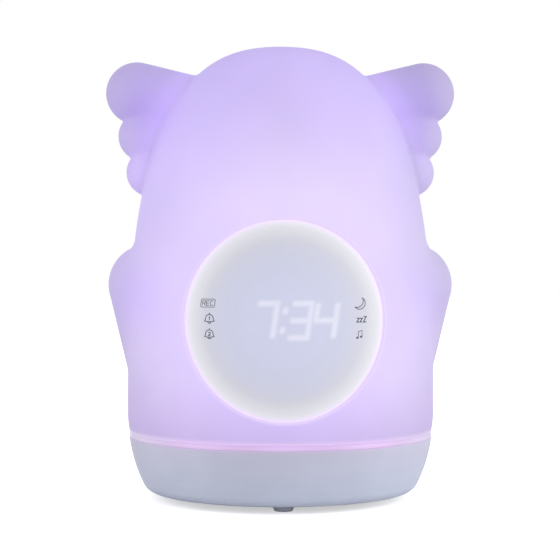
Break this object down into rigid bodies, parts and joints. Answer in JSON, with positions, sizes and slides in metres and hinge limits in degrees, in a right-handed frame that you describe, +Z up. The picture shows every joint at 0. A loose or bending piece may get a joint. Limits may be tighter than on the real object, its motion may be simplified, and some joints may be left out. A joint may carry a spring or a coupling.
{
  "type": "alarm clock with night light",
  "caption": "Bedside clock for children: a glowing silicone animal with side lobes and short arms, a round window with digits on its belly, on a round base with keys at the back.",
  "frame": {"origin": "on the table surface, under the axis of the body", "axes": "+Z up along the body's axis, the display faces -Y, +X is to the right seen from the front"},
  "size_m": [0.1458, 0.128, 0.1886],
  "materials": {
    "shade_silicone": "satin, milky, lit from inside",
    "window_plastic": "milky satin",
    "base_plastic": "fine satin",
    "deck_acrylic": "clear, polished edge",
    "inner_plastic": "moulded",
    "film": "diffusing",
    "led": "clear resin",
    "board": "solder mask",
    "steel": "plated",
    "foot_rubber": "matt",
    "dark_plastic": "moulded",
    "speaker_steel": "black coated",
    "cone_paper": "pressed paper",
    "magnet": "ground ferrite",
    "piezo_brass": "bare",
    "key_plastic": "satin",
    "knob_plastic": "satin",
    "cell_sleeve": "foil",
    "ribbon": "flat cable",
    "wire": "insulation",
    "gasket_foam": "foam"
  },
  "bodies": {
    "root": {"shade": "shade_silicone", "display_window": "window_plastic", "display_cup": "inner_plastic", "segment_mask": "inner_plastic", "segment_film": "film", "segment_leds": "led", "display_board": "board", "display_board_screws": "steel", "display_stand": "inner_plastic", "stand_screws": "steel", "halo_board": "board", "halo_leds": "led", "halo_board_screws": "steel", "glow_board": "board", "glow_leds": "led", "glow_board_screws": "steel", "clamp_ring": "inner_plastic", "ring_screws": "steel", "light_deck": "deck_acrylic", "base_housing": "base_plastic", "bottom_cover": "base_plastic", "bottom_screws": "steel", "rubber_feet": "foot_rubber", "speaker_gasket": "gasket_foam", "speaker_frame": "speaker_steel", "speaker_cone": "cone_paper", "speaker_magnet": "magnet", "main_board": "board", "main_board_chips": "dark_plastic", "main_board_screws": "steel", "tap_sensor": "piezo_brass", "key_board": "board", "tact_switches": "dark_plastic", "key_board_screws": "steel", "usb_socket": "steel", "microphone": "steel", "microphone_boot": "gasket_foam", "switch_body": "dark_plastic", "battery_cells": "cell_sleeve", "battery_springs": "steel", "battery_contacts": "steel", "display_ribbon": "ribbon", "key_ribbon": "ribbon", "glow_ribbon": "ribbon", "speaker_wires": "wire", "battery_wires": "wire"},
    "key_alarm_1": {"key_alarm_1": "key_plastic"},
    "key_alarm_2": {"key_alarm_2": "key_plastic"},
    "key_record": {"key_record": "key_plastic"},
    "key_light": {"key_light": "key_plastic"},
    "key_minus": {"key_minus": "key_plastic"},
    "key_plus": {"key_plus": "key_plastic"},
    "switch_knob": {"switch_knob": "knob_plastic"},
    "battery_door": {"battery_door": "base_plastic", "battery_door_screw": "steel"}
  },
  "joints": [
    {"name": "key_alarm_1_press", "type": "slide", "parent": "root", "child": "key_alarm_1", "axis": [0, -1, 0], "range_m": [0, 0.0007], "stiffness_N_per_m": 300, "springref_m": -0.002},
    {"name": "key_alarm_2_press", "type": "slide", "parent": "root", "child": "key_alarm_2", "axis": [0, -1, 0], "range_m": [0, 0.0007], "stiffness_N_per_m": 300, "springref_m": -0.002},
    {"name": "key_record_press", "type": "slide", "parent": "root", "child": "key_record", "axis": [0, -1, 0], "range_m": [0, 0.0007], "stiffness_N_per_m": 300, "springref_m": -0.002},
    {"name": "key_light_press", "type": "slide", "parent": "root", "child": "key_light", "axis": [0, -1, 0], "range_m": [0, 0.0007], "stiffness_N_per_m": 300, "springref_m": -0.002},
    {"name": "key_minus_press", "type": "slide", "parent": "root", "child": "key_minus", "axis": [0, -1, 0], "range_m": [0, 0.0007], "stiffness_N_per_m": 300, "springref_m": -0.002},
    {"name": "key_plus_press", "type": "slide", "parent": "root", "child": "key_plus", "axis": [0, -1, 0], "range_m": [0, 0.0007], "stiffness_N_per_m": 300, "springref_m": -0.002},
    {"name": "power_slide", "type": "slide", "parent": "root", "child": "switch_knob", "axis": [1, 0, 0], "range_m": [0, 0.004]},
    {"name": "battery_door_hinge", "type": "hinge", "parent": "root", "child": "battery_door", "pos_m": [0, -0.0043, 0.0044], "axis": [1, 0, 0], "range_deg": [0, 80]}
  ]
}
